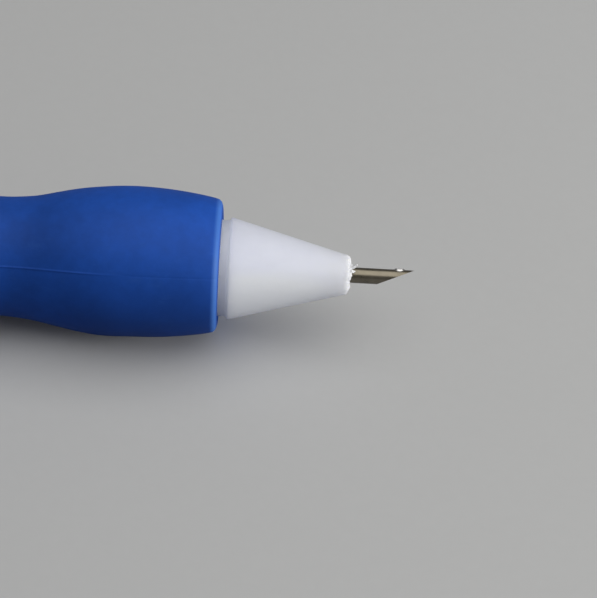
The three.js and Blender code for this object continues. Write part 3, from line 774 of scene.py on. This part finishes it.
class PUNCH_OT_grip(bpy.types.Operator):
    """Makes the rubber sleeve with its parting line, and dresses the barrel inside it."""
    bl_idname = "punch.grip"
    bl_label = "Soft Grip"

    def execute(self, context):
        settings = context.scene.punch_grip
        partings = [settings.parting_bearing, settings.parting_bearing + math.pi]
        groove = 0.25

        def from_parting(bearing):
            return min(abs(math.remainder(bearing - parting, FULL_TURN)) for parting in partings)

        def shape(along, radius, bearing):
            """The flash, a shallow groove in front, and the uneven sides. Places in it are in millimetres."""
            from_front, wide = (GRIP_FRONT - along) / MM, radius / MM
            rise = math.exp(-(from_parting(bearing) * radius / settings.parting_width) ** 2)
            raised = settings.parting_height * rise * ((1 + groove) * share(from_front, 10, 16) - groove)
            bulge = 1 - share(from_front, 10, 14)
            waist = share(from_front, 18, 22)
            side = (1 + math.cos(bearing - settings.fuller_bearing)) / 2
            more = settings.fuller * (bulge - 1.5 * waist) * side
            less = settings.slimmer * (1 + bulge) * (1 - side)
            outside = share(wide, 6.2, 7.1) * (1 - share(from_front, 26, 34))
            lean = share(wide, 6.4, 8.0) * (1 - share(from_front, 0.5, 2.0))
            return along - settings.rim_back * lean, radius + raised + (more - less) * outside

        steps = [math.radians(step) for step in (0.3, 0.55, 0.8, 1.1, 1.5, 2.2)]
        steps += [0.0, *(-step for step in steps)]
        bearings = [(parting + step) % FULL_TURN for parting in partings for step in steps]
        clear = math.radians(2.6)
        bearings += [bearing for bearing in even_bearings(144) if from_parting(bearing) > clear]
        outline = refined(section("soft_grip"), fillet=settings.softening, spacing=0.7 * MM)
        piece = finish_mesh("soft_grip_fine", turn(outline, sorted(bearings), shape))
        settle(piece, rubber_finish(settings), "soft_grip")
        barrel = NODES["front_barrel"].data.materials
        barrel.clear()
        barrel.append(plastic_finish("barrel_plastic", context.scene.punch_tip.tint, 0.45))
        return {"FINISHED"}


class PUNCH_OT_tip(bpy.types.Operator):
    """Makes the white tip with its bitten rim and the burr torn from it."""
    bl_idname = "punch.tip"
    bl_label = "Tip"

    def execute(self, context):
        settings = context.scene.punch_tip
        lump_size, coarse_size, fine_size = 2.2 * MM, 0.8 * MM, 0.26 * MM

        def shape(along, radius, bearing):
            worn = max(0.0, 1 - (TIP_END - along) / settings.wear_reach) ** 2
            spot = point_at(along, radius, bearing)
            lump = noise.noise(spot / lump_size + Vector((2, 9, 4))) * settings.wear_lumps
            coarse = noise.noise(spot / coarse_size)
            fine = noise.noise(spot / fine_size + Vector((7, 3, 5)))
            bite = (0.6 * coarse + 0.6 * fine) * settings.wear_depth
            dome = settings.wear_dome * (max(0.0, 1 - (radius / end_radius) ** 2) - 0.1)
            low = radius * math.cos(bearing - settings.worn_bearing) / end_radius
            back = settings.worn_back * share(low, 0.05, 0.35)
            along += (lump + dome - back + bite * 0.8) * worn
            wider = settings.spread * min(1.0, (TIP_END - along) / cone_length)
            return along, radius * (1 + wider) + bite * 0.7 * worn

        outline = refined(section("nose_cone", TIP_CUT), fillet=0.28 * MM, spacing=0.3 * MM)
        outline = denser(outline, start=TIP_END - settings.wear_reach, spacing=0.1 * MM)
        end_radius = max(radius for along, radius in outline if along > TIP_END - 0.3 * MM)
        cone_length = TIP_END - GRIP_FRONT
        solid = turn(outline, even_bearings(240), shape)
        settle(finish_mesh("nose_cone_fine", solid), tip_finish(settings), "nose_cone")
        self.make_burr(settings)
        return {"FINISHED"}

    @staticmethod
    def make_burr(settings):
        """Thin torn threads that stand off the rim or lie over the needle."""
        solid = bmesh.new()
        root, sunk, thick, thin, steps = 1.2 * MM, 0.15 * MM, 0.16 * MM, 0.09 * MM, 6
        for aside, lift, part in THREADS:
            bearing = settings.burr_bearing + aside
            reach = settings.burr_length * part
            points = [
                point_at(TIP_END - sunk + reach * k / steps, root + reach * lift * (k / steps) ** 2, bearing)
                for k in range(steps + 1)
            ]
            strand(solid, points, thick, thin)
        torn = plastic_finish("torn_plastic", settings.torn_tint, 0.5)
        attach(finish_mesh("tip_burr", solid), torn, "nose_cone")


class PUNCH_OT_cartridge(bpy.types.Operator):
    """Makes the bevelled needle with its eye, and the hub, holder, knob and eyelet behind it."""
    bl_idname = "punch.cartridge"
    bl_label = "Needle Cartridge"

    def execute(self, context):
        settings = context.scene.punch_needle
        self.back = settings.bevel_bearing + math.pi
        self.eye = NEEDLE_POINT - settings.eye_from_point
        rubbed = point_at(self.eye, settings.radius, self.back) - AXIS
        steel = metal_finish("needle_steel", settings.steel, 0.2, grain=(0.04, 1, 1), polished=rubbed)
        settle(self.make_needle(settings), steel, "needle_tube")
        grey = plastic_finish("holder_plastic", settings.holder_tint)
        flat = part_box("needle_hub")[1].z - AXIS.z
        flat_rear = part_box("rear_bush")[0].x

        def flatted(along, radius, bearing):
            up = math.cos(bearing)
            if along > flat_rear and radius * up > flat:
                radius = flat / up
            return along, radius

        turned_piece("needle_hub", grey, 0.12 * MM, shape=flatted)
        turned_piece("needle_holder", grey, 0.15 * MM, shape=flatted)
        self.make_knob(settings, context.scene.punch_gauge.tint)
        brass = metal_finish("eyelet_brass", settings.brass, 0.2)
        turned_piece("thread_eyelet", brass, 0.08 * MM, 0.15 * MM)
        return {"FINISHED"}

    def make_needle(self, settings):
        """A tube whose rings lean over into the bevel, with the eye cut through its far wall."""
        inner = settings.radius - settings.wall
        outline = [
            Vector((NEEDLE_REAR, settings.radius)), Vector((NEEDLE_POINT, settings.radius)),
            Vector((NEEDLE_POINT, inner)), Vector((NEEDLE_REAR, inner)),
        ]
        rise = math.tan(settings.bevel)
        rim, rim_width = 1.1, 0.35

        def bevelled(along, radius, bearing):
            height = radius * -math.cos(bearing - settings.bevel_bearing)
            end = NEEDLE_POINT - (settings.radius - height) / rise
            along = NEEDLE_REAR + (along - NEEDLE_REAR) * (end - NEEDLE_REAR) / (NEEDLE_POINT - NEEDLE_REAR)
            if radius > inner:
                aside = math.remainder(bearing - self.back, FULL_TURN) * radius / (settings.eye_width / 2)
                ahead = (along - self.eye) / (settings.eye_length / 2)
                radius += settings.eye_lip * math.exp(-((math.hypot(aside, ahead) - rim) / rim_width) ** 2)
            return along, radius

        fine = refined(outline, fillet=0.0, spacing=0.45 * MM)
        fine = denser(fine, start=NEEDLE_POINT - 3 * MM, spacing=0.08 * MM)
        needle = finish_mesh("needle_tube_fine", turn(fine, even_bearings(96), bevelled))
        start, end = (point_at(self.eye, radius, self.back) for radius in (0.0, 2 * settings.radius))
        aspect = settings.eye_length / settings.eye_width
        eye = rod("eye_cutter", start, end, settings.eye_width / 2, sides=40, aspect=aspect)
        return soften(carve(needle, eye), settings.edge)

    @staticmethod
    def make_knob(settings, tint):
        """A knob whose flutes run out softly at both ends."""
        low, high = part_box("tail_knob")
        widest = (high.z - low.z) / 2
        pitch = FULL_TURN / settings.knob_flutes
        half = pitch * widest / 4
        run_out = 1.6 * MM

        def fluted(along, radius, bearing):
            if radius < widest * 0.7:
                return along, radius
            from_flute = math.remainder(bearing, pitch) * widest
            depth = settings.flute_depth * share(min(along - low.x, high.x - along), 0.0, run_out) ** 0.5
            return along, radius - depth * math.sqrt(max(0.0, 1 - (from_flute / half) ** 2))

        outline = refined(section("tail_knob", KNOB_CUT), fillet=0.25 * MM, spacing=0.4 * MM)
        piece = finish_mesh("tail_knob_fine", turn(outline, even_bearings(256), fluted))
        settle(piece, plastic_finish("knob_plastic", tint), "tail_knob")


class PUNCH_OT_shell(bpy.types.Operator):
    """Makes the rear shell with its helical slot, the dial round it, its pins and its bush."""
    bl_idname = "punch.shell"
    bl_label = "Rear Shell"

    def execute(self, context):
        settings = context.scene.punch_gauge
        self.measure(settings)
        self.make_shell(settings)
        ink = ink_finish(settings.ink)
        self.make_numbers(settings, ink)
        self.make_marks(settings, ink)
        steel = metal_finish("pin_steel", context.scene.punch_needle.steel, 0.25)
        inner, outer = self.radius - 1.4 * MM, self.radius + 0.02 * MM
        pin("shell_pin_near", steel, -inner, -outer)
        pin("shell_pin_far", steel, inner, outer)
        grey = plastic_finish("bush_plastic", context.scene.punch_needle.holder_tint, 0.4)
        turned_piece("rear_bush", grey, 0.25 * MM)
        return {"FINISHED"}

    def measure(self, settings):
        """Takes the sizes of the slot and the shell from the frame."""
        stud_low, stud_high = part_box("setting_stud")
        self.stud = (stud_low + stud_high) / 2
        self.stud_radius = (stud_high.y - stud_low.y) / 2
        self.travel = JOINTS["gauge_slide"]["range_m"][1]
        self.turn_range = math.radians(JOINTS["gauge_turn"]["range_deg"][1])
        self.steps = settings.settings - 1
        bush_play = 0.12 * MM
        self.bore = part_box("rear_bush")[1].y + bush_play
        self.radius = self.bore + settings.wall

    def make_shell(self, settings):
        """The shell with its flange, stepped bore, slot, window and pin hole."""
        low, high = SHELL_LOW, SHELL_HIGH
        play, ledge, shoulder = 0.1 * MM, 0.4 * MM, 0.5 * MM
        flange, socket = (high.z - low.z) / 2, 6 * MM
        flange_rear = high.x - settings.flange
        socket_end, bush_rear = (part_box(node)[0].x - play for node in ("front_barrel", "rear_bush"))
        rear, lip = self.radius - settings.taper, self.bore - ledge
        outline = [
            (low.x, rear), (flange_rear - shoulder, self.radius), (flange_rear, flange), (high.x, flange),
            (high.x, socket), (socket_end, socket), (socket_end, self.bore), (bush_rear, self.bore),
            (bush_rear, lip), (low.x, lip),
        ]
        outline = [Vector(spot) for spot in outline]
        fine = refined(outline, fillet=0.3 * MM, spacing=1 * MM, sharp=math.radians(15))
        shell = finish_mesh("rear_shell_fine", turn(fine, even_bearings(180)))
        carve(shell, self.slot_cutter(settings), self.window_cutter(settings), pin_hole())
        soften(shell, settings.edge)
        settle(shell, plastic_finish("shell_plastic", settings.tint), "rear_shell")

    def stud_along(self, bearing):
        """Where the stud's middle is along the tool at a bearing."""
        return self.stud.x - self.travel * bearing / self.turn_range

    def ahead_of_slot(self, bearing, settings):
        """Where the scallops end at a bearing."""
        return self.stud_along(bearing) + self.stud_radius + settings.stud_gap + settings.scallop

    def slot_cutter(self, settings):
        """The helical slot with a scallop at each setting, as one closed strip round the shell."""
        half = self.stud_radius + settings.stud_gap
        step = self.turn_range / self.steps
        end_reach = half / self.radius
        count, least = 420, 0.02 * MM
        solid = bmesh.new()
        rings = []
        for i in range(count + 1):
            bearing = -end_reach + (self.turn_range + 2 * end_reach) * i / count
            beyond = max(-bearing, bearing - self.turn_range, 0.0) * self.radius
            width = math.sqrt(max(half ** 2 - beyond ** 2, least ** 2))
            middle = self.stud_along(min(max(bearing, 0.0), self.turn_range))
            nearest = min(max(round(bearing / step), 0), self.steps) * step
            aside = abs(bearing - nearest) * self.radius
            front = middle + width
            if aside < half:
                bowl = self.stud_along(nearest) + settings.scallop + math.sqrt(half ** 2 - aside ** 2)
                front = max(front, bowl)
            inner, outer = self.bore - 0.2 * MM, self.radius + 1.2 * MM
            corners = ((middle - width, inner), (front, inner), (front, outer), (middle - width, outer))
            rings.append([solid.verts.new(point_at(along, radius, bearing)) for along, radius in corners])
        skin(solid, rings, round_about=False)
        return finish_mesh("slot_cutter", solid)

    @staticmethod
    def window_cutter(settings):
        """The opening at the rear in which the lever lies."""
        low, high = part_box("lock_lever")
        holder_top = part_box("needle_holder")[1].z
        half = (high.y - low.y) / 2 + settings.window_gap
        ahead, beyond, above = 0.4 * MM, 1 * MM, 5 * MM
        rear_corner = Vector((SHELL_LOW.x - beyond, -half, holder_top))
        return block("window_cutter", rear_corner, Vector((high.x + ahead, half, high.z + above)))

    def make_numbers(self, settings, ink):
        """Plain numbers for the settings, wrapped round the shell ahead of the slot."""
        solid = bmesh.new()
        thickness, number_gap, size_per_height = 0.05 * MM, 0.45 * MM, 1.35
        for setting in range(settings.settings):
            text = bpy.data.curves.new("number", "FONT")
            text.body = str(setting + 1)
            text.size = settings.number_height * size_per_height
            text.align_x = "CENTER"
            text.extrude = thickness
            holder = linked("number", text)
            flat = evaluated_mesh(holder)
            bpy.data.objects.remove(holder)
            bearing = setting * self.turn_range / self.steps
            foot = self.ahead_of_slot(bearing, settings) + number_gap + settings.mark_length
            for vertex in flat.vertices:
                across, up, out = vertex.co
                along = foot + up
                surface = self.shell_radius(along, settings)
                vertex.co = point_at(along, surface + out, bearing + across / surface)
            solid.from_mesh(flat)
            bpy.data.meshes.remove(flat)
        attach(finish_mesh("dial_numbers", solid), ink, "rear_shell")

    def shell_radius(self, along, settings):
        """The tapered shell's radius at a place along it."""
        front = SHELL_HIGH.x - settings.flange
        return self.radius - settings.taper * (front - along) / (front - SHELL_LOW.x)

    def make_marks(self, settings, ink):
        """A short printed line between each number and its scallop."""
        mark_gap, thickness = 0.2 * MM, 0.08 * MM
        start = self.ahead_of_slot(0, settings) + mark_gap + settings.mark_length / 2
        radius_drop = settings.taper * self.travel / (SHELL_HIGH.x - SHELL_LOW.x)
        values = {
            "Count": settings.settings, "Start": start, "Step": self.travel / self.steps,
            "Turn": self.turn_range / self.steps, "Radius": self.shell_radius(start, settings),
            "Radius Step": radius_drop / self.steps, "Axis": AXIS,
            "Size": Vector((settings.mark_length, settings.mark_width, thickness)),
        }
        tree, given = geometry_tree("Dial marks", values)
        index = tree.node("GeometryNodeInputIndex")
        points = tree.node("GeometryNodePoints", inputs={"Count": given["Count"]})
        bearing = index * given["Turn"]
        radius = given["Radius"] - index * given["Radius Step"]
        along = given["Start"] - index * given["Step"]
        place = tree.node("ShaderNodeCombineXYZ", inputs={
            0: along,
            1: 0 - radius * tree.node("ShaderNodeMath", {"operation": "SINE"}, {0: bearing}),
            2: radius * tree.node("ShaderNodeMath", {"operation": "COSINE"}, {0: bearing}),
        })
        place = tree.node("ShaderNodeVectorMath", {"operation": "ADD"}, {0: place, 1: given["Axis"]})
        points = tree.node("GeometryNodeSetPosition", inputs={"Geometry": points, "Position": place})
        mark = tree.node("GeometryNodeMeshCube", inputs={"Size": given["Size"]})
        lean = tree.node("ShaderNodeCombineXYZ", inputs={0: bearing})
        marks = tree.node("GeometryNodeInstanceOnPoints", inputs={
            "Points": points, "Instance": mark, "Rotation": lean,
        })
        attach(grow("dial_marks", tree, marks, ink, values), ink, "rear_shell")


class PUNCH_OT_gauge(bpy.types.Operator):
    """Makes the gauge's stud, collar, tube, washer and spring."""
    bl_idname = "punch.gauge"
    bl_label = "Loop Gauge"

    def execute(self, context):
        settings = context.scene.punch_gauge
        steel = metal_finish("stud_steel", context.scene.punch_needle.steel, 0.2)
        grey = plastic_finish("gauge_plastic", context.scene.punch_needle.holder_tint)
        low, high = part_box("setting_stud")
        middle = (low + high) / 2
        stud = rod(
            "setting_stud_fine", Vector((middle.x, 0, low.z)), Vector((middle.x, 0, high.z)),
            (high.y - low.y) / 2, sides=48, dome=0.25 * MM,
        )
        settle(stud, steel, "setting_stud")
        turned_piece("stud_collar", grey, 0.2 * MM)
        turned_piece("gauge_tube", grey, 0.1 * MM)
        turned_piece("thrust_washer", steel, 0.08 * MM)
        self.make_spring(settings, steel)
        return {"FINISHED"}

    @staticmethod
    def make_spring(settings, steel):
        """A round wire along a spiral between the barrel's shoulder and the washer."""
        low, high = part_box("gauge_spring")
        values = {
            "Turns": float(settings.coils), "Radius": (high.y - low.y) / 2 - settings.wire,
            "Length": high.x - low.x - 2 * settings.wire, "Wire": settings.wire,
            "Rear End": AXIS + Vector((low.x + settings.wire, 0, 0)),
        }
        tree, given = geometry_tree("Spring", values)
        steps_per_turn, wire_sides = 40, 12
        spiral = tree.node("GeometryNodeCurveSpiral", inputs={
            "Resolution": steps_per_turn, "Rotations": given["Turns"], "Start Radius": given["Radius"],
            "End Radius": given["Radius"], "Height": given["Length"],
        })
        ring = tree.node("GeometryNodeCurvePrimitiveCircle", inputs={
            "Resolution": wire_sides, "Radius": given["Wire"],
        })
        wire = tree.node("GeometryNodeCurveToMesh", inputs={
            "Curve": spiral, "Profile Curve": ring, "Fill Caps": True,
        })
        wire = tree.node("GeometryNodeTransform", inputs={
            "Geometry": wire, "Translation": given["Rear End"], "Rotation": (0.0, math.pi / 2, 0.0),
        })
        piece = grow("gauge_spring_fine", tree, wire, steel, values)
        settle(piece, steel, "gauge_spring")
        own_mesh(piece)


class PUNCH_OT_lever(bpy.types.Operator):
    """Makes the lock lever with its thumb ribs, and its pin."""
    bl_idname = "punch.lever"
    bl_label = "Lock Lever"

    def execute(self, context):
        settings = context.scene.punch_lever
        low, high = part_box("lock_lever")
        plastic = plastic_finish("lever_plastic", settings.tint)
        outline = refined(
            section("lock_lever", 0.0), fillet=0.3 * MM, spacing=0.5 * MM, sharp=math.radians(33),
        )
        solid = bmesh.new()
        sides = [
            [solid.verts.new(Vector((along, y, AXIS.z + up))) for along, up in outline]
            for y in (low.y, high.y)
        ]
        skin(solid, sides, round_about=False)
        piece = finish_mesh("lock_lever_fine", solid)
        soften(carve(piece, pin_hole()), settings.edge, 3)
        settle(piece, plastic, "lock_lever")
        self.make_ribs(settings, plastic, low, high)
        steel = metal_finish("lever_pin_steel", context.scene.punch_needle.steel, 0.22)
        pin("lever_pin", steel, *(corner.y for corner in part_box("lever_pin")))
        return {"FINISHED"}

    @staticmethod
    def make_ribs(settings, plastic, low, high):
        """Round ribs across the thumb end, for grip."""
        first, arm = low.x + 3.4 * MM, low.x + 4 * MM
        arm_top = AXIS.z + max(up for along, up in section("lock_lever", 0.0) if along > arm)
        values = {
            "Count": settings.ribs, "First": Vector((first, 0, arm_top)),
            "Spacing": Vector((settings.rib_spacing, 0, 0)), "Radius": settings.rib_radius,
            "Width": high.y - low.y - 2 * settings.rib_inset,
        }
        tree, given = geometry_tree("Thumb ribs", values)
        line = tree.node("GeometryNodeMeshLine", inputs={
            "Count": given["Count"], "Start Location": given["First"], "Offset": given["Spacing"],
        })
        rib = tree.node("GeometryNodeMeshCylinder", inputs={
            "Vertices": 20, "Radius": given["Radius"], "Depth": given["Width"],
        })
        ribs = tree.node("GeometryNodeInstanceOnPoints", inputs={
            "Points": line, "Instance": rib, "Rotation": (math.pi / 2, 0.0, 0.0),
        })
        attach(grow("lever_ribs", tree, ribs, plastic, values), plastic, "lock_lever")


class PUNCH_OT_stage(bpy.types.Operator):
    """Makes the pale floor, the soft lights and the camera at the photograph's angle."""
    bl_idname = "punch.stage"
    bl_label = "Stage"

    def execute(self, context):
        settings = context.scene.punch_stage
        self.make_floor(settings)
        self.make_lights(context, settings)
        self.make_camera(context, settings)
        context.scene.view_settings.view_transform = "Standard"
        return {"FINISHED"}

    @staticmethod
    def make_floor(settings):
        solid = bmesh.new()
        bmesh.ops.create_grid(solid, x_segments=1, y_segments=1, size=3.0)
        floor = finish_mesh("floor", solid)
        finish = Finish("floor_paper")
        grain = finish.noise(1.2 * MM)
        seen = finish.node("ShaderNodeLightPath", output="Is Camera Ray")
        seen = seen + finish.node("ShaderNodeLightPath", output="Is Glossy Ray") * 0.3
        paper = finish.mix(grain, scaled(settings.floor, 0.97), settings.floor)
        tint = finish.mix(seen, settings.bounce, paper)
        floor.data.materials.append(finish.done(tint, 0.9))

    @staticmethod
    def make_lights(context, settings):
        target = AXIS + Vector((GRIP_FRONT, 0, 0))
        lamps = (
            ("top_light", settings.top, 0.95, Vector((0.16, -0.05, 0.61))),
            ("side_light", settings.side, 0.20, Vector((0.60, -0.10, 0.07))),
        )
        for name, power, size, place in lamps:
            lamp = bpy.data.lights.new(name, "AREA")
            lamp.energy = power
            lamp.size = size
            holder = linked(name, lamp)
            holder.location = target + place
            holder.rotation_mode = "QUATERNION"
            holder.rotation_quaternion = place.to_track_quat("Z", "Y")
        world = bpy.data.worlds.new("room")
        world.use_nodes = True
        backdrop = world.node_tree.nodes["Background"]
        backdrop.inputs["Color"].default_value = (0.97, 0.98, 1.0, 1.0)
        backdrop.inputs["Strength"].default_value = settings.sky
        context.scene.world = world

    @staticmethod
    def make_camera(context, settings):
        azimuth, elevation = settings.azimuth, settings.elevation
        level = Vector((math.cos(azimuth), math.sin(azimuth), 0))
        away = Vector((math.sin(azimuth), -math.cos(azimuth), 0))
        back = away * math.cos(elevation) + Vector((0, 0, math.sin(elevation)))
        steep = back.cross(level)
        right = level * math.cos(settings.roll) + steep * math.sin(settings.roll)
        up = back.cross(right)
        aim = AXIS + Vector((GRIP_FRONT + settings.ahead, 0, 0)) - up * settings.below
        camera = linked("camera", bpy.data.cameras.new("camera"))
        camera.location = aim + back * settings.distance
        camera.rotation_mode = "QUATERNION"
        camera.rotation_quaternion = Matrix((right, up, back)).transposed().to_quaternion()
        width = PICTURE_WIDTH * settings.pixel
        camera.data.lens = camera.data.sensor_width * settings.distance / width
        camera.data.clip_start = 0.01
        context.scene.camera = camera


OPERATORS = (
    PUNCH_OT_stage, PUNCH_OT_grip, PUNCH_OT_tip, PUNCH_OT_cartridge, PUNCH_OT_shell, PUNCH_OT_gauge,
    PUNCH_OT_lever,
)


class PUNCH_PT_panel(bpy.types.Panel):
    """Lists the steps and the sizes."""
    bl_idname = "PUNCH_PT_panel"
    bl_label = "Punch Needle"
    bl_space_type = "VIEW_3D"
    bl_region_type = "UI"
    bl_category = "Punch Needle"

    def draw(self, context):
        for operator in OPERATORS:
            self.layout.operator(operator.bl_idname)
        for name in GROUPS:
            box = self.layout.box()
            group = getattr(context.scene, name)
            for field in group.bl_rna.properties:
                if field.identifier not in {"rna_type", "name"}:
                    box.prop(group, field.identifier)


CLASSES = (*GROUPS.values(), *OPERATORS, PUNCH_PT_panel)


def register():
    for cls in CLASSES:
        bpy.utils.register_class(cls)
    for name, group in GROUPS.items():
        setattr(bpy.types.Scene, name, bpy.props.PointerProperty(type=group))


def unregister():
    for name in GROUPS:
        delattr(bpy.types.Scene, name)
    for cls in reversed(CLASSES):
        bpy.utils.unregister_class(cls)


def main():
    register()
    for step in (
        bpy.ops.punch.stage, bpy.ops.punch.grip, bpy.ops.punch.tip, bpy.ops.punch.cartridge,
        bpy.ops.punch.shell, bpy.ops.punch.gauge, bpy.ops.punch.lever,
    ):
        step()


if __name__ == "__main__":
    main()
